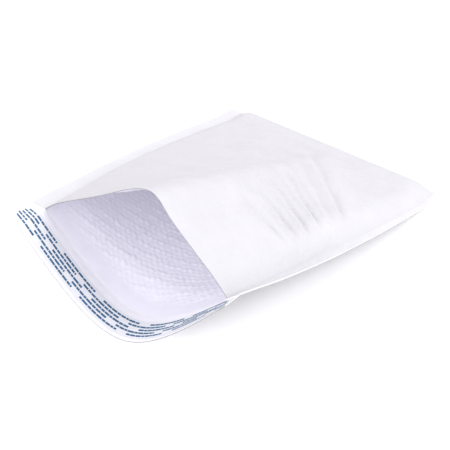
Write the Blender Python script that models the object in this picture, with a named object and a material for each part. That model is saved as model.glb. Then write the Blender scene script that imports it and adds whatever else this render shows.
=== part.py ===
"""Padded envelope (white bubble mailer) lying on a table with its mouth propped open.

The mouth faces -Y and the folded end +Y. Lengths are in metres, +Z is up, z = 0 is the table.
"""

import bmesh
import bpy
import numpy as np

# Driving dimensions
WIDTH = 0.216  # the whole envelope across, laid flat
BODY = 0.281  # mouth to folded end
FLAP = 0.035  # back panel past the mouth
SEAM = 0.0125  # sealed strip along each side
PAPER = 0.0005
GAP = 0.0003  # clearance between neighbouring pieces

MOUTH_CHORD = 0.158  # seam to seam at the propped-open mouth
FLAP_CHORD = 0.167  # corner to corner along the flap's free edge
CREST_AT = 0.555  # share of the chord where the front panel's crest stands
KEEL_AT = 0.526  # share of the chord where the back panel is lowest
CREST_SOFTNESS = 0.10
KEEL_SOFTNESS = 0.57
FLAT_SOFTNESS = 3.0  # the keel's softness further in, where the back panel lies flatter
OPENING_POWER = 1.02  # how the opening closes towards the folded end
FLAT_END = 0.022  # flat stretch before the folded end
NEAR_SEAM_TILT = 0.92  # tilt of the right seam strip against the back panel's slope
FAR_SEAM_TILT = 0.05  # the same for the left strip, which lies nearly level
TWIST = 0.032  # sideways slope of the mouth
MOUTH_SHIFT = 0.010
FLAP_SHIFT = 0.013
FLAP_LEAN = 0.012
FLAP_LIFT = 0.008

FILM_AT_MOUTH = 0.0008  # bubble film pressed flat where it is sealed to the paper
FILM = 0.0036  # bubble film with its bubbles up
FILM_RAMP = (0.014, 0.036)
PAD = 0.0086  # both film layers, which hold the panels apart
PAD_AT_MOUTH = 0.0022
PAD_RAMP = 0.10
PAD_EDGE = 0.016
END_SEAL = 0.010

LINER_WIDTH = 0.0235
LINER_MARGIN = 0.0035
ADHESIVE_WIDTH = 0.0195
TAPE_THICKNESS = 0.0003
TAPE_SIDE_MARGIN = 0.0015

STATIONS = 22
FLAP_STATIONS = 4
HALF_COLUMNS = 10
SEAM_COLUMNS = 2
WELD = 1e-6

INNER = WIDTH - 2 * SEAM


def smooth(x, start, end):
    t = np.clip((np.asarray(x, float) - start) / (end - start), 0, 1)
    return t * t * (3 - 2 * t)


def tent(u, peak, softness):
    """A ridge of height 1 at the peak that falls to 0 at u = 0 and u = 1, with a rounded top."""
    s = np.where(u < peak, (peak - u) / peak, (u - peak) / (1 - peak))
    return 1 - (np.hypot(s, softness) - softness) / (np.hypot(1, softness) - softness)


def columns(count=HALF_COLUMNS):
    """Shares of the chord, closer together near the ridge."""
    side = np.linspace(1, 0, count + 1) ** 1.3
    return np.concatenate([CREST_AT * (1 - side), CREST_AT + (1 - CREST_AT) * side[-2::-1]])


def ridge_height(arc, chord, peak, softness):
    """Height of the ridge that makes a panel of length arc span the chord."""
    if chord >= arc:
        return 0.0
    u = np.linspace(0, 1, 161)
    low, high = 0.0, arc
    for _ in range(40):
        height = (low + high) / 2
        length = np.hypot(np.diff(u) * chord, np.diff(height * tent(u, peak, softness))).sum()
        low, high = (height, high) if length < arc else (low, height)
    return (low + high) / 2


def across(curve, distance):
    """The curve of (x, z) points moved by a distance to its upper side."""
    step = np.gradient(curve, axis=0)
    normal = np.stack([-step[:, 1], step[:, 0]], -1)
    return curve + distance * normal / np.linalg.norm(normal, axis=1, keepdims=True)


def openness(y):
    return max(0.0, 1 - max(y, 0.0) / (BODY - FLAT_END))


def body_chord(y):
    narrowing = 1 - MOUTH_CHORD / INNER
    return INNER * (1 - narrowing * openness(y) ** (2 * OPENING_POWER))


def lean_over(x, z, y):
    """Adds the mouth's shift and sideways slope to a section."""
    share = openness(y)
    return np.stack([x + MOUTH_SHIFT * share**2, z + TWIST * share * x], -1)


def pad_height(y):
    along = 1 - smooth(y, BODY - 0.030, BODY - END_SEAL)
    return along * (PAD_AT_MOUTH + (PAD - PAD_AT_MOUTH) * smooth(y, 0, PAD_RAMP))


def pad_bulge(u, y):
    """How far the two film layers hold the panels apart at each share of the chord."""
    from_edge = np.minimum(u, 1 - u) * body_chord(y)
    return pad_height(y) * np.sin(np.clip(from_edge / PAD_EDGE, 0, 1) * np.pi / 2)


def panels(y, u):
    """Facing sides of the back and front panels at y, seam to seam, as two (x, z) curves."""
    chord = body_chord(y)
    x = (u - 0.5) * chord
    keel = KEEL_SOFTNESS + (FLAT_SOFTNESS - KEEL_SOFTNESS) * smooth(y, 0, BODY / 2)
    depth = ridge_height(INNER, chord, KEEL_AT, keel)
    height = ridge_height(INNER, chord, CREST_AT, CREST_SOFTNESS) - pad_height(y) * openness(y)
    back = lean_over(x, -depth * tent(u, KEEL_AT, keel), y)
    front = lean_over(x, height * tent(u, CREST_AT, CREST_SOFTNESS) + pad_bulge(u, y), y)
    lift = -across(back, -PAPER)[:, 1].min()
    return back + [0, lift], front + [0, lift]


def seam_slopes():
    """Slopes of the back panel at its two seams at the mouth, as angles above the level."""
    u = np.array([0, 0.01, 0.99, 1])
    depth = ridge_height(INNER, MOUTH_CHORD, KEEL_AT, KEEL_SOFTNESS)
    z = -depth * tent(u, KEEL_AT, KEEL_SOFTNESS)
    run = 0.01 * MOUTH_CHORD
    return FAR_SEAM_TILT * np.arctan2(z[0] - z[1], run), NEAR_SEAM_TILT * np.arctan2(z[3] - z[2], run)


def seam_strip(corner, angle, side):
    """Points of a seam strip from the panel's corner outwards."""
    reach = np.linspace(0, SEAM, SEAM_COLUMNS + 1)[1:, None]
    return corner + reach * np.array([side * np.cos(angle), np.sin(angle)])


def with_seams(curve, y):
    """A panel curve with the seam strips added at both ends."""
    share = openness(y)
    left, right = (angle * share**2.2 for angle in seam_slopes())
    strip_l = seam_strip(curve[0], left - TWIST * share, -1)
    strip_r = seam_strip(curve[-1], right + TWIST * share, 1)
    return np.concatenate([strip_l[::-1], curve, strip_r])


def flap_curve(share, u):
    """Upper side of the flap, corner to corner; share is 0 at the mouth and 1 at the free edge."""
    at_mouth = with_seams(panels(0.0, u)[0], 0.0)
    run = np.r_[0, np.hypot(*np.diff(at_mouth, axis=0).T).cumsum()]
    run /= run[-1]
    fine = np.linspace(0, 1, 401)
    depth = ridge_height(WIDTH, FLAP_CHORD, KEEL_AT, KEEL_SOFTNESS)
    x, z = (fine - 0.5) * FLAP_CHORD, -depth * tent(fine, KEEL_AT, KEEL_SOFTNESS)
    length = np.r_[0, np.hypot(np.diff(x), np.diff(z)).cumsum()]
    free = np.stack([np.interp(run * length[-1], length, v) for v in (x, z)], -1)
    free[:, 1] += TWIST * free[:, 0]
    free += [MOUTH_SHIFT + FLAP_SHIFT, FLAP_LIFT + PAPER - free[:, 1].min()]
    return at_mouth + share * (free - at_mouth), run


def at(y, curve):
    """(x, z) points at y as (x, y, z) points."""
    return np.stack([curve[:, 0], np.broadcast_to(y, len(curve)), curve[:, 1]], -1)


def flap_row(share, u, offset=0.0):
    curve, run = flap_curve(share, u)
    return at(-FLAP * share + FLAP_LEAN * share * (run - 0.5), across(curve, offset))


def body_stations():
    """Places along the body, closer together near the mouth and the folded end."""
    return BODY * (0.5 - 0.5 * np.cos(np.linspace(0, np.pi, STATIONS)))


def add_patch(bm, rows):
    """Adds a grid of points as quads."""
    verts = [[bm.verts.new(p) for p in row] for row in rows]
    for low, high in zip(verts, verts[1:]):
        for a, b, c, d in zip(low, low[1:], high[1:], high):
            bm.faces.new((a, b, c, d))


def make_object(name, patches, colour, roughness, collection):
    """One closed body from patches that share their border points."""
    bm = bmesh.new()
    for rows in patches:
        add_patch(bm, rows)
    bmesh.ops.remove_doubles(bm, verts=bm.verts, dist=WELD)
    bmesh.ops.dissolve_degenerate(bm, dist=WELD, edges=bm.edges)
    bmesh.ops.recalc_face_normals(bm, faces=bm.faces)
    mesh = bpy.data.meshes.new(name)
    bm.to_mesh(mesh)
    bm.free()
    obj = bpy.data.objects.new(name, mesh)
    collection.objects.link(obj)
    material = bpy.data.materials.new(name)
    material.use_nodes = True
    surface = material.node_tree.nodes["Principled BSDF"]
    surface.inputs["Base Color"].default_value = (*colour, 1)
    surface.inputs["Roughness"].default_value = roughness
    mesh.materials.append(material)
    return obj


def paper_shell(collection):
    """One folded sheet: back panel with its flap, front panel, and the sides where they are sealed."""
    u = columns()
    first, last = SEAM_COLUMNS, SEAM_COLUMNS + len(u)
    outer_top, between, outer_bottom, inner_top, inner_bottom = [], [], [], [], []
    for y in body_stations():
        back, front = panels(y, u)
        top = with_seams(front, y)
        bottom = with_seams(back, y)
        outer_top.append(at(y, across(top, PAPER)))
        between.append(at(y, bottom))
        outer_bottom.append(at(y, across(bottom, -PAPER)))
        if y < BODY - END_SEAL:
            inner_top.append(at(y, front))
            inner_bottom.append(at(y, back))
    shares = np.linspace(1, 0, FLAP_STATIONS + 1)
    flap_top = [flap_row(share, u) for share in shares]
    flap_bottom = [flap_row(share, u, -PAPER) for share in shares]
    step_l = [flap_top[-1][: first + 1], outer_top[0][: first + 1]]
    step_r = [flap_top[-1][last - 1 :], outer_top[0][last - 1 :]]
    rim = [inner_top[0], outer_top[0][first:last]]
    cavity_end = [inner_top[-1], inner_bottom[-1]]
    folded_end = [outer_top[-1], between[-1], outer_bottom[-1]]
    free_edge = [flap_top[0], flap_bottom[0]]
    sides = [
        [[row[k] for row in skin] for skin in skins]
        for skins in ((outer_top, between, outer_bottom), (flap_top, flap_bottom))
        for k in (0, -1)
    ]
    patches = [outer_top, outer_bottom, inner_top, inner_bottom, flap_top, flap_bottom]
    patches += [step_l, step_r, rim, cavity_end, folded_end, free_edge, *sides]
    return make_object("paper_shell", patches, (0.90, 0.90, 0.93), 0.75, collection)


def between_panels(y, inset):
    """Two curves inset from the front and back panels that meet at both ends, or None if too thin."""
    fine = np.linspace(0, 1, 801)
    back, front = panels(y, fine)
    room = front[:, 1] - back[:, 1] - 2 * inset
    inside = np.flatnonzero(room > 0)
    if room.max() < 0.0006 or len(inside) < 80:
        return None
    ends = fine[max(inside[0], 1)], fine[min(inside[-1], len(fine) - 2)]
    u = ends[0] + (ends[1] - ends[0]) * columns()
    back, front = panels(y, u)
    lower, upper = back + [0, inset], front - [0, inset]
    for k in (0, -1):
        lower[k] = upper[k] = (lower[k] + upper[k]) / 2
    return lower, upper


def film_thickness(y):
    return FILM_AT_MOUTH + (FILM - FILM_AT_MOUTH) * smooth(y, *FILM_RAMP)


def bubble_lining(collection):
    """One folded web of bubble film: a pouch that is open at the mouth."""
    outside = {"lower": [], "upper": []}
    inside = {"lower": [], "upper": []}
    gap = GAP + 0.0001
    for y in [0.0005, *body_stations()[1:]]:
        outer = between_panels(y, gap)
        inner = between_panels(y, gap + film_thickness(y))
        for rows, pair in ((outside, outer), (inside, inner)):
            if pair is not None and y < BODY - END_SEAL - 0.001:
                rows["lower"].append(at(y, pair[0]))
                rows["upper"].append(at(y, pair[1]))
    patches = [outside["lower"], outside["upper"], inside["lower"], inside["upper"]]
    patches += [[rows["lower"][-1], rows["upper"][-1]] for rows in (outside, inside)]
    patches += [[outside[side][0], inside[side][0]] for side in ("lower", "upper")]
    return make_object("bubble_lining", patches, (0.82, 0.82, 0.88), 0.35, collection)


def tape(name, offset, start, width, colour, roughness, collection):
    """A thin strip that follows the flap's upper side from corner to corner."""
    full = columns()
    margin = TAPE_SIDE_MARGIN / WIDTH

    def row(share, height):
        line = flap_row(share, full, height)
        run = flap_curve(share, full)[1]
        wanted = np.linspace(margin, 1 - margin, 2 * len(full))
        return np.stack([np.interp(wanted, run, line[:, k]) for k in range(3)], -1)

    shares = np.linspace(1 - start / FLAP, 1 - (start + width) / FLAP, 4)
    lower = [row(share, offset) for share in shares]
    upper = [row(share, offset + TAPE_THICKNESS) for share in shares]
    edges = [[lower[k], upper[k]] for k in (0, -1)]
    sides = [[[r[k] for r in lower], [r[k] for r in upper]] for k in (0, -1)]
    return make_object(name, [lower, upper, *edges, *sides], colour, roughness, collection)


def centre(objects):
    """Puts the middle of the whole object's box over the origin."""
    points = np.array([v.co for obj in objects for v in obj.data.vertices])
    middle = (points.min(0) + points.max(0)) / 2
    for obj in objects:
        for vert in obj.data.vertices:
            vert.co.x -= middle[0]
            vert.co.y -= middle[1]


def main():
    for obj in list(bpy.data.objects):
        bpy.data.objects.remove(obj)
    collection = bpy.data.collections.new("padded_envelope")
    bpy.context.scene.collection.children.link(collection)
    adhesive_start = LINER_MARGIN + (LINER_WIDTH - ADHESIVE_WIDTH) / 2
    liner_offset = 2 * GAP + TAPE_THICKNESS
    objects = [
        paper_shell(collection),
        bubble_lining(collection),
        tape("adhesive_strip", GAP, adhesive_start, ADHESIVE_WIDTH, (0.85, 0.82, 0.62), 0.3, collection),
        tape("release_liner", liner_offset, LINER_MARGIN, LINER_WIDTH, (0.93, 0.94, 0.97), 0.35, collection),
    ]
    centre(objects)


main()
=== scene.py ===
"""Looks of the padded envelope: creased paper shell, bubble film lining, printed release liner.

The section functions follow the CAD part's. The padding's ends, the front panel at the mouth, the
creases and the bubbles are added here, on a finer grid. Lengths are in metres.
"""

import math

import bmesh
import bpy
import numpy as np
from mathutils import Matrix, Vector


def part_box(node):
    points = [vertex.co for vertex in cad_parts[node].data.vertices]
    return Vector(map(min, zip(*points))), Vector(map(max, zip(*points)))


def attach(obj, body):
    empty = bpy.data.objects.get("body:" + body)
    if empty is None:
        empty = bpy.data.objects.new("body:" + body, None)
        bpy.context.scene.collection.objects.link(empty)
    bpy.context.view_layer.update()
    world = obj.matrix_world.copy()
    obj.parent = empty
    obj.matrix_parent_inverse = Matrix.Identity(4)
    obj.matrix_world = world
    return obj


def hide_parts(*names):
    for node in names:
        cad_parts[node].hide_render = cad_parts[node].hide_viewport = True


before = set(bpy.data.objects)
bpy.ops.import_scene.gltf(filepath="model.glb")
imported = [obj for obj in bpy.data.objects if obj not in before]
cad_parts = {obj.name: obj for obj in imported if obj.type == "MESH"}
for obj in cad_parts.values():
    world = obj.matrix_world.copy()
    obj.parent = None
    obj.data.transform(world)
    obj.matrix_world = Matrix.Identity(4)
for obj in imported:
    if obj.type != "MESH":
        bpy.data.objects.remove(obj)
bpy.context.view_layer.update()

# Shape of the envelope, with the CAD part's values
WIDTH = 0.216
BODY = 0.281
FLAP = 0.035
SEAM = 0.0125
PAPER = 0.0005
MOUTH_CHORD = 0.158
FLAP_CHORD = 0.167
CREST_AT = 0.555
KEEL_AT = 0.526
CREST_SOFTNESS = 0.10
KEEL_SOFTNESS = 0.57
FLAT_SOFTNESS = 3.0
OPENING_POWER = 1.02
FLAT_END = 0.022
NEAR_SEAM_TILT = 0.92
FAR_SEAM_TILT = 0.05
TWIST = 0.032
MOUTH_SHIFT = 0.010
FLAP_SHIFT = 0.013
FLAP_LEAN = 0.012
FLAP_LIFT = 0.008
FILM = 0.0036
FILM_RAMP = (0.014, 0.036)
PAD = 0.0086
PAD_AT_MOUTH = 0.0022
PAD_RAMP = 0.10
PAD_EDGE = 0.016
END_SEAL = 0.010
LINER_WIDTH = 0.0235
LINER_MARGIN = 0.0035
ADHESIVE_WIDTH = 0.0195
TAPE_SIDE_MARGIN = 0.0015
INNER = WIDTH - 2 * SEAM
MIDDLE_Y = (BODY * 2 - (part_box("paper_shell")[1].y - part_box("paper_shell")[0].y)) / 2

# Shape details of the looks alone
FILM_AT_MOUTH = 0.0001
FILM_START = 0.0022
FILM_GAP_AT_MOUTH = 0.0001
FILM_GAP_GROWTH = 0.0003  # from the mouth to the end of the ramp
FILM_GAP_RAMP = 0.02
FILM_END_GAP = 0.001  # between the film and the paper's end seal
LEAST_ROOM = 0.0006  # between the panels, for a row of film
LEAST_PROBES = 80
FILM_EDGE_FADE = 0.006  # room between the facing films below which the bubbles shrink
TAPE_GAP = 0.0001
TAPE_THICKNESS = 0.00012
# Local shifts (x, z) of the front panel at the mouth, each with its place and width in shares
# of the chord: a fuller shoulder on the near side of the crest and a flatter far slope
MOUTH_SHIFTS = [((0.0046, 0.0016), 0.58, 0.085), ((0.0003, -0.0017), 0.33, 0.16)]
OVER_SEAM = 0.0085  # how far the padding reaches over the near seam at the folded end
END_GROOVE = 0.0012
END_GROOVE_AT = 0.0055  # from the folded end
END_GROOVE_WIDTH = 0.0011
END_ROUND = 0.009
CREASE_GAIN = 1.45
CREASE_LIFT = 0.0034  # keeps the creases' valleys clear of the film
SWELL = 0.0006
CREASE_WANDER = 0.0012
CREASE_WANDER_SCALE = (1.7, 1.3)
CREASE_GAIN_AT_SEAM = 0.8  # added to the height of the creases near the near seam
FAN_AT_SEAM = 0.96  # share of the width where a crease line counts as meeting the near seam
FAN_WIDTH = 0.34
FAN_SHIFT = 0.0593
FAN_SPREAD = 0.87

# Looks
PANEL_COLUMNS = 120
PANEL_STATIONS = 170
SEAM_COLUMNS = 8
FLAP_STATIONS = 22
BUBBLE_PITCH = 0.0054
BUBBLE_HEIGHT = 0.0006
BUBBLES_FROM = (0.012, 0.024)
BUBBLE_RADIUS = 0.45  # in pitches
BUBBLE_SPREAD = 0.5  # of the heights, as a share
BUBBLE_SKEW = 0.35  # turns the lattice against the envelope's sides
BUBBLE_DRIFT = 0.0016
BUBBLE_DRIFT_SCALE = 5
QUILT_HEIGHT = 0.00020
QUILT_SPREAD = 0.00010
QUILT_RADIUS = 0.5  # in pitches
FILM_COLUMNS = 170
FILM_STATIONS = 200
OUTER_FILM_STATIONS = 40
TAPE_COLUMNS = 220
TAPE_ROWS = 12
PANEL_PROBES = 801
FLAP_PROBES = 241
SMOOTH_ANGLE = math.radians(40)
FLOOR_SIZE = 6
FLOOR_DROP = 0.0002
WELD = 1e-6
# Strength of the faint painted glow on the lining and on the flap's paper, which brightens the
# inside of the pouch
PAINTED_GLOW = 0.115
GLOW_COLOUR = (0.93, 0.90, 1.0, 1)


# --- sections -------------------------------------------------------------------------------


def smooth(x, start, end):
    t = np.clip((np.asarray(x, float) - start) / (end - start), 0, 1)
    return t * t * (3 - 2 * t)


def tent(u, peak, softness):
    """A ridge of height 1 at the peak that falls to 0 at u = 0 and u = 1, with a rounded top."""
    s = np.where(u < peak, (peak - u) / peak, (u - peak) / (1 - peak))
    return 1 - (np.hypot(s, softness) - softness) / (np.hypot(1, softness) - softness)


def ridge_height(arc, chord, peak, softness):
    """Height of the ridge that makes a panel of length arc span the chord."""
    if chord >= arc:
        return 0.0
    u = np.linspace(0, 1, 161)
    low, high = 0.0, arc
    for _ in range(40):
        height = (low + high) / 2
        length = np.hypot(np.diff(u) * chord, np.diff(height * tent(u, peak, softness))).sum()
        low, high = (height, high) if length < arc else (low, height)
    return (low + high) / 2


def across(curve, distance):
    """The curve of (x, z) points moved by a distance to its upper side."""
    step = np.gradient(curve, axis=0)
    normal = np.stack([-step[:, 1], step[:, 0]], -1)
    return curve + distance * normal / np.linalg.norm(normal, axis=1, keepdims=True)


def openness(y):
    """How open the pouch is at y: 1 at the mouth, 0 where the panels lie flat."""
    return max(0.0, 1 - max(y, 0.0) / (BODY - FLAT_END))


def body_chord(y):
    narrowing = 1 - MOUTH_CHORD / INNER
    return INNER * (1 - narrowing * openness(y) ** (2 * OPENING_POWER))


def lean_over(x, z, y):
    """Adds the mouth's shift and sideways slope to a section."""
    share = openness(y)
    return np.stack([x + MOUTH_SHIFT * share**2, z + TWIST * share * x], -1)


def pad_height(y):
    along = math.sqrt(1 - min(max(y - BODY + END_ROUND, 0) / END_ROUND, 1) ** 2)
    return along * (PAD_AT_MOUTH + (PAD - PAD_AT_MOUTH) * smooth(y, 0, PAD_RAMP))


def pad_bulge(u, y):
    """How far the two film layers hold the panels apart at each share of the chord."""
    from_edge = np.minimum(u, 1 - u) * body_chord(y)
    return pad_height(y) * np.sin(np.clip(from_edge / PAD_EDGE, 0, 1) * np.pi / 2)


def panels(y, u):
    """Facing sides of the back and front panels at y, seam to seam, as two (x, z) curves."""
    chord = body_chord(y)
    x = (u - 0.5) * chord
    keel = KEEL_SOFTNESS + (FLAT_SOFTNESS - KEEL_SOFTNESS) * smooth(y, 0, BODY / 2)
    depth = ridge_height(INNER, chord, KEEL_AT, keel)
    height = ridge_height(INNER, chord, CREST_AT, CREST_SOFTNESS) - pad_height(y) * openness(y)
    back = lean_over(x, -depth * tent(u, KEEL_AT, keel), y)
    front = lean_over(x, height * tent(u, CREST_AT, CREST_SOFTNESS) + pad_bulge(u, y), y)
    for shift, place, width in MOUTH_SHIFTS:
        front += np.outer(openness(y) ** 1.5 * np.exp(-(((u - place) / width) ** 2)), shift)
    lift = -across(back, -PAPER)[:, 1].min()
    return back + [0, lift], front + [0, lift]


def seam_slopes():
    """Slopes of the back panel at its two seams at the mouth, as angles above the level."""
    u = np.array([0, 0.01, 0.99, 1])
    depth = ridge_height(INNER, MOUTH_CHORD, KEEL_AT, KEEL_SOFTNESS)
    z = -depth * tent(u, KEEL_AT, KEEL_SOFTNESS)
    run = 0.01 * MOUTH_CHORD
    return (
        FAR_SEAM_TILT * np.arctan2(z[0] - z[1], run),
        NEAR_SEAM_TILT * np.arctan2(z[3] - z[2], run),
    )


def seam_strip(corner, angle, side):
    """Points of a seam strip from the panel's corner outwards."""
    reach = np.linspace(0, SEAM, SEAM_COLUMNS + 1)[1:, None]
    return corner + reach * np.array([side * np.cos(angle), np.sin(angle)])


def with_seams(curve, y):
    """A panel curve with the seam strips added at both ends."""
    share = openness(y)
    left, right = (angle * share**2.2 for angle in seam_slopes())
    strip_l = seam_strip(curve[0], left - TWIST * share, -1)
    strip_r = seam_strip(curve[-1], right + TWIST * share, 1)
    return np.concatenate([strip_l[::-1], curve, strip_r])


def flap_curve(share, u):
    """Upper side of the flap, corner to corner; share is 0 at the mouth and 1 at the free edge."""
    at_mouth = with_seams(panels(0.0, u)[0], 0.0)
    run = np.r_[0, np.hypot(*np.diff(at_mouth, axis=0).T).cumsum()]
    run /= run[-1]
    fine = np.linspace(0, 1, 401)
    depth = ridge_height(WIDTH, FLAP_CHORD, KEEL_AT, KEEL_SOFTNESS)
    x, z = (fine - 0.5) * FLAP_CHORD, -depth * tent(fine, KEEL_AT, KEEL_SOFTNESS)
    length = np.r_[0, np.hypot(np.diff(x), np.diff(z)).cumsum()]
    free = np.stack([np.interp(run * length[-1], length, v) for v in (x, z)], -1)
    free[:, 1] += TWIST * free[:, 0]
    free += [MOUTH_SHIFT + FLAP_SHIFT, FLAP_LIFT + PAPER - free[:, 1].min()]
    return at_mouth + share * (free - at_mouth), run


def at(y, curve):
    """(x, z) points at y as (x, y, z) points in the frame."""
    return np.stack([curve[:, 0], np.broadcast_to(y, len(curve)) - MIDDLE_Y, curve[:, 1]], -1)


def flap_row(share, u, offset=0.0):
    curve, run = flap_curve(share, u)
    return at(-FLAP * share + FLAP_LEAN * share * (run - 0.5), across(curve, offset))


# --- creases in the paper -------------------------------------------------------------------


# Each crease of the near slope: where it meets the near seam, its height and width, and the
# shares of the panel's width between which it runs.
NEAR_CREASES = [
    (0.0700, 0.0007, 0.0016, 0.66, 0.93),
    (0.0765, -0.0011, 0.0015, 0.64, 0.96),
    (0.0830, 0.0017, 0.0014, 0.60, 0.98),
    (0.0895, -0.0014, 0.0014, 0.62, 0.96),
    (0.0960, 0.0016, 0.0014, 0.60, 0.97),
    (0.1030, -0.0015, 0.0015, 0.59, 0.98),
    (0.1100, 0.0015, 0.0014, 0.58, 0.96),
    (0.1170, -0.0013, 0.0015, 0.57, 0.97),
    (0.1245, 0.0011, 0.0016, 0.54, 0.97),
    (0.1330, -0.0009, 0.0018, 0.52, 0.95),
    (0.1400, 0.0010, 0.0020, 0.50, 0.97),
    (0.1465, -0.0013, 0.0024, 0.50, 0.98),
    (0.1560, 0.0006, 0.0030, 0.50, 0.93),
]
# Slow waves of the paper: turns along x and y in radians per metre, and phase
SWELL_WAVES = [(95, 40, 0.3), (-60, 85, 1.9), (30, -120, 4.1), (150, 70, 2.2), (-110, 130, 5.0)]


def crease(distance, width):
    """A narrow fold of height 1 at distance 0."""
    return 1 / (1 + (distance / width) ** 2)


def fan(u, y):
    """Place of the crease line through a point: where that line meets the near seam."""
    from_seam = (FAN_AT_SEAM - u) / FAN_WIDTH
    return (y + FAN_SHIFT * from_seam) / (1 + FAN_SPREAD * from_seam)


def swell(x, y):
    """Slow, uneven rise and fall of the paper, between about -1 and 1."""
    total = np.zeros_like(x + y)
    for wave_x, wave_y, phase in SWELL_WAVES:
        total = total + np.sin(wave_x * x + wave_y * y + phase)
    return total / len(SWELL_WAVES)


def front_creases(u, y):
    """Height of the front panel's creases and dents, along its normal."""
    x = u * INNER
    scale_x, scale_y = CREASE_WANDER_SCALE
    place = fan(u, y) + CREASE_WANDER * swell(x * scale_x, y * scale_y)
    height = np.zeros_like(u)
    for middle, tall, width, start, stop in NEAR_CREASES:
        stretch = smooth(u, start, start + 0.10) * (1 - smooth(u, stop - 0.08, stop))
        height += CREASE_GAIN * tall * crease(place - middle, width) * stretch
    height *= 1 + CREASE_GAIN_AT_SEAM * smooth(u, 0.74, 0.88)
    lifted = smooth(u, 0.50, 0.62) * (1 - smooth(u, 0.93, 1)) * smooth(place, 0.055, 0.075)
    height += CREASE_LIFT * lifted * (1 - smooth(place, 0.150, 0.175))
    open_part = smooth(y, 0.0, 0.04) * (1 - smooth(y, BODY - 0.03, BODY - 0.01))
    rise = SWELL * (1 + swell(x, y)) * open_part
    height += rise * smooth(u, 0, 0.08) * (1 - smooth(u, 0.92, 1))
    height += quilting(x, y) * open_part
    groove = crease(y - BODY + END_GROOVE_AT, END_GROOVE_WIDTH)
    height -= END_GROOVE * (groove * smooth(u, 0.01, 0.04) * (1 - smooth(u, 0.96, 0.99)))
    return height


def hexagons(x, y, pitch):
    """Distance to the nearest centre of a hexagonal lattice, in pitches, and a number for it."""
    row = pitch * math.sqrt(3) / 2
    best, number = np.full(np.shape(x + y), 9.0), np.zeros(np.shape(x + y))
    for shift in (0, 1):
        cell_y = np.round((y / row - shift) / 2) * 2 + shift
        cell_x = np.round(x / pitch - 0.5 * shift) + 0.5 * shift
        distance = np.hypot(x - cell_x * pitch, y - cell_y * row) / pitch
        number = np.where(distance < best, np.sin(cell_x * 12.9898 + cell_y * 78.233), number)
        best = np.minimum(best, distance)
    return best, number


def quilting(x, y):
    """The faint relief of the bubbles under the paper."""
    distance, number = hexagons(x, y, BUBBLE_PITCH)
    dome = np.cos(np.clip(distance / QUILT_RADIUS, 0, 1) * np.pi / 2) ** 2
    return (QUILT_HEIGHT + QUILT_SPREAD * number) * dome


# --- mesh building --------------------------------------------------------------------------


def make_piece(name, patches, materials, slot, replaced):
    """One closed mesh from grids of points that share their borders.

    Each patch is its rows and the number of its material.
    """
    verts, faces, slots, start = [], [], [], 0
    for rows, index_of in patches:
        grid = np.array(rows)
        count, width = grid.shape[:2]
        index = start + np.arange(count * width).reshape(count, width)
        quads = np.stack([index[:-1, :-1], index[:-1, 1:], index[1:, 1:], index[1:, :-1]], -1)
        verts.append(grid.reshape(-1, 3))
        faces.append(quads.reshape(-1, 4))
        slots.append(np.full(quads.shape[0] * quads.shape[1], index_of))
        start += count * width
    mesh = bpy.data.meshes.new(name)
    mesh.from_pydata(np.concatenate(verts).tolist(), [], np.concatenate(faces).tolist())
    for material in materials:
        mesh.materials.append(material)
    mesh.polygons.foreach_set("material_index", np.concatenate(slots))
    bm = bmesh.new()
    bm.from_mesh(mesh)
    bmesh.ops.remove_doubles(bm, verts=bm.verts, dist=WELD)
    bmesh.ops.dissolve_degenerate(bm, dist=WELD, edges=bm.edges)
    bmesh.ops.recalc_face_normals(bm, faces=bm.faces)
    for edge in bm.edges:
        if len(edge.link_faces) == 2 and edge.calc_face_angle(0) > SMOOTH_ANGLE:
            edge.smooth = False
    for face in bm.faces:
        face.smooth = True
    bm.to_mesh(mesh)
    bm.free()
    obj = bpy.data.objects.new(name, mesh)
    bpy.context.scene.collection.objects.link(obj)
    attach(obj, "root")
    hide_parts(replaced)
    return obj


def stations(count):
    """Places along the body, closer together near the mouth and the folded end."""
    y = np.linspace(0, BODY, 400)
    weight = 1 + 1.2 * smooth(y, 0.05, 0.09) * (1 - smooth(y, 0.19, 0.25))
    weight += 1.5 * (1 - smooth(y, 0, 0.008)) + 1.5 * smooth(y, BODY - 0.012, BODY)
    share = np.r_[0, weight[:-1].cumsum()]
    return np.interp(np.linspace(0, 1, count), share / share[-1], y)


def over_near_seam(top, y, last):
    """The front panel's outer side with its padding reaching over part of the near seam."""
    reach = OVER_SEAM * smooth(y, 0.02, BODY)
    corner, end = top[last - 1].copy(), top[-1].copy()
    along = (end - corner) / np.linalg.norm(end - corner)
    panel = top[:last] + reach * smooth(np.arange(last), last * 0.8, last - 1)[:, None] * along
    strip = np.linspace(corner + reach * along, end, len(top) - last + 1)[1:]
    return np.concatenate([panel, strip])


def rows_between(rows, first, last):
    return [row[first:last] for row in rows]


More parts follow.
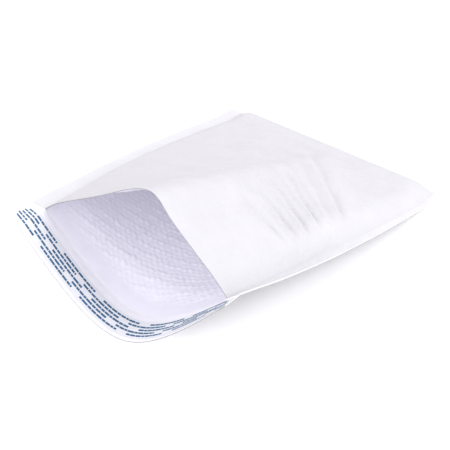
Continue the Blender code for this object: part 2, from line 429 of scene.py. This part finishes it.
def paper_shell(papers):
    """Two-skinned shell; papers are copies of one white paper, over film, of seams, flap and edge:
    seams and flap lighter as painted light, edge darker as painted shade.
    """
    u = np.linspace(0, 1, PANEL_COLUMNS)
    first, last = SEAM_COLUMNS, SEAM_COLUMNS + len(u)
    outer_top, between, outer_bottom, inner_top, inner_bottom = [], [], [], [], []
    for y in stations(PANEL_STATIONS):
        back, front = panels(y, u)
        fold = front_creases(u, y) * np.sin(np.pi * u) ** 0.3
        front = front + (across(front, 1.0) - front) * fold[:, None]
        top, bottom = with_seams(front, y), with_seams(back, y)
        outer_top.append(at(y, over_near_seam(across(top, PAPER), y, last)))
        between.append(at(y, bottom))
        outer_bottom.append(at(y, across(bottom, -PAPER)))
        if y < BODY - END_SEAL:
            inner_top.append(at(y, front))
            inner_bottom.append(at(y, back))
    shares = np.linspace(1, 0, FLAP_STATIONS + 1)
    flap_top = [flap_row(share, u) for share in shares]
    flap_bottom = [flap_row(share, u, -PAPER) for share in shares]
    step_l = [flap_top[-1][: first + 1], outer_top[0][: first + 1]]
    step_r = [flap_top[-1][last - 1 :], outer_top[0][last - 1 :]]
    rim = [inner_top[0], outer_top[0][first:last]]
    cavity_end = [inner_top[-1], inner_bottom[-1]]
    folded_end = [outer_top[-1], between[-1], outer_bottom[-1]]
    free_edge = [flap_top[0], flap_bottom[0]]
    sides = [
        [[row[k] for row in skin] for skin in skins]
        for skins in ((outer_top, between, outer_bottom), (flap_top, flap_bottom))
        for k in (0, -1)
    ]
    padded = [rows_between(outer_top, first, last), rows_between(outer_bottom, first, last)]
    padded += [inner_top, cavity_end, folded_end]
    bare = [rows_between(skin, 0, first + 1) for skin in (outer_top, outer_bottom)]
    bare += [rows_between(skin, last - 1, None) for skin in (outer_top, outer_bottom)]
    bare += [step_l, step_r, *sides]
    flap = [inner_bottom, flap_top, flap_bottom]
    # The flap copy, lighter and glowing as painted light, also covers the back panel's inside; the
    # rim and the free edge take the edge copy, darker as painted shade
    patches = [(rows, 0) for rows in padded] + [(rows, 1) for rows in bare]
    patches += [(rows, 2) for rows in flap] + [(rows, 3) for rows in (rim, free_edge)]
    make_piece("envelope_paper", patches, papers, "white_paper", "paper_shell")


def film_stations(count):
    """Places along the film, closer together in the part that shows through the mouth."""
    y = np.linspace(FILM_START, BODY, 400)
    share = np.r_[0, (1 + 0.8 * (1 - smooth(y, 0.11, 0.15)))[:-1].cumsum()]
    return np.interp(np.linspace(0, 1, count), share / share[-1], y)


def film_gap(y):
    """Gap between film and paper."""
    return FILM_GAP_AT_MOUTH + FILM_GAP_GROWTH * smooth(y, 0, FILM_GAP_RAMP)


def film_thickness(y):
    return FILM_AT_MOUTH + (FILM - FILM_AT_MOUTH) * smooth(y, *FILM_RAMP)


def between_panels(y, inset, columns):
    """Curves inset from the front and back panels that meet at both ends, or None if too thin."""
    fine = np.linspace(0, 1, PANEL_PROBES)
    back, front = panels(y, fine)
    room = front[:, 1] - back[:, 1] - 2 * inset
    inside = np.flatnonzero(room > 0)
    if room.max() < LEAST_ROOM or len(inside) < LEAST_PROBES:
        return None
    ends = fine[max(inside[0], 1)], fine[min(inside[-1], len(fine) - 2)]
    u = ends[0] + (ends[1] - ends[0]) * np.linspace(0, 1, columns)
    back, front = panels(y, u)
    lower, upper = back + [0, inset], front - [0, inset]
    for k in (0, -1):
        lower[k] = upper[k] = (lower[k] + upper[k]) / 2
    return lower, upper, u


def bubbles(u, y):
    """Height of the film's bubbles above its flat side."""
    x = u * INNER
    drift = BUBBLE_DRIFT * swell(BUBBLE_DRIFT_SCALE * x, BUBBLE_DRIFT_SCALE * y)
    skewed = x + BUBBLE_SKEW * y + drift, y - BUBBLE_SKEW * x - drift
    distance, number = hexagons(*skewed, BUBBLE_PITCH)
    dome = np.sqrt(np.clip(1 - (distance / BUBBLE_RADIUS) ** 2, 0, 1))
    return BUBBLE_HEIGHT * (1 + BUBBLE_SPREAD * number) * dome * smooth(y, *BUBBLES_FROM)


def bubble_film(material):
    """The lining: a pouch with a plain outer side and bubbles on its inner side."""
    outside = {"lower": [], "upper": []}
    inside = {"lower": [], "upper": []}
    last = BODY - END_SEAL - FILM_END_GAP
    for y in film_stations(FILM_STATIONS):
        inner = between_panels(y, film_gap(y) + film_thickness(y), FILM_COLUMNS)
        if inner is not None and y < last:
            lower, upper, u = inner
            room = upper[:, 1] - lower[:, 1]
            rise = bubbles(u, y) * np.clip(room / FILM_EDGE_FADE - 0.3, 0, 1)
            inside["lower"].append(at(y, lower + (across(lower, 1.0) - lower) * rise[:, None]))
            inside["upper"].append(at(y, upper - (across(upper, 1.0) - upper) * rise[:, None]))
    for y in film_stations(OUTER_FILM_STATIONS):
        outer = between_panels(y, film_gap(y), FILM_COLUMNS)
        if outer is not None and y < last:
            outside["lower"].append(at(y, outer[0]))
            outside["upper"].append(at(y, outer[1]))
    patches = [outside["lower"], outside["upper"], inside["lower"], inside["upper"]]
    patches += [[rows["lower"][-1], rows["upper"][-1]] for rows in (outside, inside)]
    patches += [[outside[side][0], inside[side][0]] for side in ("lower", "upper")]
    patches = [(rows, 0) for rows in patches]
    film = make_piece("bubble_film", patches, [material], "bubble_film", "bubble_lining")


# --- print on the release liner --------------------------------------------------------------


ROW_PITCH = 0.0040
ROW_HEIGHT = 0.0021
FIRST_ROW = 0.0070  # from the flap's free edge to the outermost row's middle
PHRASE = 0.0345
PHRASE_GAP = 0.0086
PRINT_THICKNESS = 0.00006
ROW_STARTS = (-0.0140, -0.0250, -0.0070, -0.0180, 0.0000)
WORD_LENGTHS = (0.0046, 0.0029, 0.0038, 0.0022, 0.0054, 0.0031, 0.0042)
WORD_GAP = 0.0005
SHORTEST_WORD = 0.0012
PRINT_MARGIN = 0.001
LEAST_PHRASE = 0.004
PRINT_GAP = 0.00002


flap_lines = {}


def liner_line(run_points, from_edge, height):
    """Points above the flap at shares of its width and a distance from its free edge."""
    share = 1 - from_edge / FLAP
    if share not in flap_lines:
        u = np.linspace(0, 1, FLAP_PROBES)
        flap_lines[share] = u, flap_curve(share, u)[1]
    u, run = flap_lines[share]
    line = flap_row(share, u, height)
    return np.stack([np.interp(run_points, run, line[:, k]) for k in range(3)], -1)


def tape(name, offset, start, width, material, slot, replaced):
    """A thin strip that follows the flap's upper side from corner to corner."""
    margin = TAPE_SIDE_MARGIN / WIDTH
    run = np.linspace(margin, 1 - margin, TAPE_COLUMNS)
    places = np.linspace(start, start + width, TAPE_ROWS)
    lower = [liner_line(run, place, offset) for place in places]
    upper = [liner_line(run, place, offset + TAPE_THICKNESS) for place in places]
    edges = [[lower[k], upper[k]] for k in (0, -1)]
    sides = [[[r[k] for r in lower], [r[k] for r in upper]] for k in (0, -1)]
    patches = [(rows, 0) for rows in (lower, upper, *edges, *sides)]
    make_piece(name, patches, [material], slot, replaced)


def words():
    """(row, start, end) of each printed word, in metres along the flap's width."""
    count = 0
    for row, start in enumerate(ROW_STARTS):
        place = TAPE_SIDE_MARGIN + start
        while place < WIDTH - TAPE_SIDE_MARGIN - LEAST_PHRASE:
            stop = min(place + PHRASE, WIDTH - TAPE_SIDE_MARGIN - PRINT_MARGIN)
            while place < stop - SHORTEST_WORD:
                length = min(WORD_LENGTHS[count % len(WORD_LENGTHS)], stop - place)
                if place > TAPE_SIDE_MARGIN:
                    yield row, place, place + length
                place += length + WORD_GAP
                count += 1
            place = stop + PHRASE_GAP


def liner_print(material):
    """Five rows of plain word-like dashes, each a thin closed slab on the liner."""
    base = 2 * (TAPE_GAP + TAPE_THICKNESS) + PRINT_GAP
    verts, faces = [], []
    for row, start, stop in words():
        middle = FIRST_ROW + row * ROW_PITCH
        run = np.linspace(start, stop, 4) / WIDTH
        near, far = middle - ROW_HEIGHT / 2, middle + ROW_HEIGHT / 2
        ring = [
            liner_line(run, near, base),
            liner_line(run, near, base + PRINT_THICKNESS),
            liner_line(run, far, base + PRINT_THICKNESS),
            liner_line(run, far, base),
        ]
        first = len(verts)
        verts += [tuple(p) for line in ring for p in line]
        n = len(run)
        for k in range(4):
            a, b = first + k * n, first + (k + 1) % 4 * n
            faces += [(a + i, a + i + 1, b + i + 1, b + i) for i in range(n - 1)]
        faces += [tuple(first + k * n + end for k in range(4)) for end in (0, n - 1)]
    mesh = bpy.data.meshes.new("liner_print")
    mesh.from_pydata(verts, [], faces)
    bm = bmesh.new()
    bm.from_mesh(mesh)
    bmesh.ops.recalc_face_normals(bm, faces=bm.faces)
    bm.to_mesh(mesh)
    bm.free()
    obj = bpy.data.objects.new("liner_print", mesh)
    bpy.context.scene.collection.objects.link(obj)
    mesh.materials.append(material)
    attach(obj, "root")


# --- materials --------------------------------------------------------------------------------


def new_material(name, colour, roughness):
    """A node material and its Principled surface."""
    material = bpy.data.materials.new(name)
    material.use_nodes = True
    surface = material.node_tree.nodes["Principled BSDF"]
    surface.inputs["Base Color"].default_value = (*colour, 1)
    surface.inputs["Roughness"].default_value = roughness
    return material, surface


def noise(tree, scale, detail=2.0, roughness=0.5):
    """A noise texture on the object's own coordinates; scale is in cycles per metre."""
    place = tree.nodes.new("ShaderNodeTexCoord")
    texture = tree.nodes.new("ShaderNodeTexNoise")
    texture.inputs["Scale"].default_value = scale
    texture.inputs["Detail"].default_value = detail
    texture.inputs["Roughness"].default_value = roughness
    tree.links.new(place.outputs["Object"], texture.inputs["Vector"])
    return texture.outputs["Fac"]


def ramp(tree, value, stops):
    """Colours mixed by a value; stops are (position, colour)."""
    node = tree.nodes.new("ShaderNodeValToRGB")
    elements = node.color_ramp.elements
    while len(elements) < len(stops):
        elements.new(0.5)
    for element, (position, colour) in zip(elements, stops):
        element.position = position
        element.color = (*colour, 1)
    tree.links.new(value, node.inputs["Fac"])
    return node.outputs["Color"]


def bump(tree, surface, height, strength, distance, below=None):
    """Adds a bump to the surface, on top of the normal below if there is one."""
    node = tree.nodes.new("ShaderNodeBump")
    node.inputs["Strength"].default_value = strength
    node.inputs["Distance"].default_value = distance
    tree.links.new(height, node.inputs["Height"])
    if below is not None:
        tree.links.new(below, node.inputs["Normal"])
    tree.links.new(node.outputs["Normal"], surface.inputs["Normal"])
    return node.outputs["Normal"]


def paper_material(name, lightness, glow=0.0):
    """White paper with a cloudy formation and a fine fibre surface; its copies differ in lightness
    and glow as painted light and shade.
    """
    colour = np.array([0.985, 0.970, 1.02]) * lightness
    material, surface = new_material(name, colour, 0.8)
    tree = material.node_tree
    clouds = ramp(tree, noise(tree, 55, 4), [(0.3, colour * 0.98), (0.7, colour * 1.02)])
    tree.links.new(clouds, surface.inputs["Base Color"])
    coarse = bump(tree, surface, noise(tree, 190, 3), 0.6, 0.0012)
    bump(tree, surface, noise(tree, 2600, 2, 0.7), 0.20, 0.00008, coarse)
    surface.inputs["Specular IOR Level"].default_value = 0.2
    surface.inputs["Emission Color"].default_value = GLOW_COLOUR
    surface.inputs["Emission Strength"].default_value = glow
    return material


def film_material():
    material, surface = new_material("bubble_film", (0.80, 0.80, 0.86), 0.38)
    tree = material.node_tree
    tree.links.new(
        ramp(tree, noise(tree, 90, 3), [(0.3, (0.73, 0.72, 0.79)), (0.7, (0.77, 0.76, 0.82))]),
        surface.inputs["Base Color"],
    )
    bump(tree, surface, noise(tree, 700, 3), 0.3, 0.0003)
    # Faint painted glow that brightens the lining inside the pouch
    surface.inputs["Emission Color"].default_value = GLOW_COLOUR
    surface.inputs["Emission Strength"].default_value = PAINTED_GLOW
    surface.inputs["Coat Weight"].default_value = 0.25
    surface.inputs["Coat Roughness"].default_value = 0.25
    return material


def liner_material():
    material, surface = new_material("release_paper", (0.88, 0.89, 0.93), 0.33)
    tree = material.node_tree
    tree.links.new(
        ramp(tree, noise(tree, 120, 3), [(0.3, (0.72, 0.73, 0.76)), (0.7, (0.75, 0.76, 0.78))]),
        surface.inputs["Base Color"],
    )
    bump(tree, surface, noise(tree, 400, 2), 0.15, 0.0002)
    return material


def adhesive_material():
    material, surface = new_material("adhesive", (0.80, 0.77, 0.60), 0.25)
    tree = material.node_tree
    bump(tree, surface, noise(tree, 900, 2), 0.4, 0.0002)
    surface.inputs["Coat Weight"].default_value = 0.5
    return material


def ink_material():
    material, surface = new_material("blue_ink", (0.05, 0.12, 0.23), 0.6)
    surface.inputs["Specular IOR Level"].default_value = 0.15
    tree = material.node_tree
    tree.links.new(
        ramp(tree, noise(tree, 1800, 2), [(0.35, (0.035, 0.10, 0.20)), (0.7, (0.06, 0.15, 0.27))]),
        surface.inputs["Base Color"],
    )
    return material


def floor_material():
    material, surface = new_material("floor_white", (0.93, 0.93, 0.935), 0.9)
    tree = material.node_tree
    tree.links.new(
        ramp(tree, noise(tree, 3, 2), [(0.3, (0.89, 0.89, 0.895)), (0.7, (0.91, 0.91, 0.915))]),
        surface.inputs["Base Color"],
    )
    surface.inputs["Specular IOR Level"].default_value = 0.0
    return material


# --- stage --------------------------------------------------------------------------------------


def add_floor():
    bpy.ops.mesh.primitive_plane_add(size=FLOOR_SIZE, location=(0, 0, -FLOOR_DROP))
    floor = bpy.context.object
    floor.name = "floor"
    floor.data.materials.append(floor_material())


def add_area(name, place, size, power):
    """A round soft light that faces the envelope."""
    light = bpy.data.lights.new(name, "AREA")
    light.shape = "DISK"
    light.size = size
    light.energy = power
    obj = bpy.data.objects.new(name, light)
    bpy.context.scene.collection.objects.link(obj)
    obj.location = place
    obj.rotation_mode = "QUATERNION"
    obj.rotation_quaternion = (-Vector(place)).to_track_quat("-Z", "Y")


def add_world(strength, colour):
    world = bpy.data.worlds.new("soft_white")
    bpy.context.scene.world = world
    world.use_nodes = True
    back = world.node_tree.nodes["Background"]
    back.inputs["Color"].default_value = (*colour, 1)
    back.inputs["Strength"].default_value = strength


CAMERA_AZIMUTH = 33.58
CAMERA_ELEVATION = 35.22
CAMERA_ROLL = 4.92
CAMERA_DISTANCE = 0.7805
CAMERA_TARGET = Vector((-0.001, 0.0059, 0.0))
CAMERA_LENS = 79.65


def add_camera():
    a, e, r = (math.radians(v) for v in (CAMERA_AZIMUTH, CAMERA_ELEVATION, CAMERA_ROLL))
    back = Vector((math.sin(a) * math.cos(e), -math.cos(a) * math.cos(e), math.sin(e)))
    level = Vector((math.cos(a), math.sin(a), 0))
    upright = back.cross(level)
    right = math.cos(r) * level + math.sin(r) * upright
    up = -math.sin(r) * level + math.cos(r) * upright
    camera = bpy.data.cameras.new("camera")
    camera.lens = CAMERA_LENS
    camera.sensor_width = 36
    camera.clip_start = 0.01
    obj = bpy.data.objects.new("camera", camera)
    bpy.context.scene.collection.objects.link(obj)
    turn = Matrix((right, up, back)).transposed().to_4x4()
    obj.matrix_world = Matrix.Translation(CAMERA_TARGET + CAMERA_DISTANCE * back) @ turn
    bpy.context.scene.camera = obj


paper_shell(
    [
        paper_material("padded_paper", 0.522),
        # Seam and flap copies are lighter as painted light; the flap copy also has the painted
        # glow
        paper_material("seam_paper_painted_light", 0.59),
        paper_material("flap_paper_painted_light", 0.76, PAINTED_GLOW),
        # Darker copy for the cut edges at the mouth and the flap's free edge: painted shade as a
        # dark outline
        paper_material("cut_edge_painted_shade", 0.28),
    ]
)
bubble_film(film_material())
adhesive_start = LINER_MARGIN + (LINER_WIDTH - ADHESIVE_WIDTH) / 2
adhesive = adhesive_material(), "adhesive", "adhesive_strip"
tape("adhesive_layer", TAPE_GAP, adhesive_start, ADHESIVE_WIDTH, *adhesive)
liner_at = 2 * TAPE_GAP + TAPE_THICKNESS
tape("peel_liner", liner_at, LINER_MARGIN, LINER_WIDTH, liner_material(), "liner", "release_liner")
liner_print(ink_material())
add_floor()
add_world(1.39, (0.99, 0.985, 1.0))
add_area("key", (1.10, 0.25, 0.95), 0.8, 9)
add_area("front", (-0.15, -1.35, 0.85), 0.8, 5)
add_camera()
bpy.context.scene.view_settings.view_transform = "Standard"
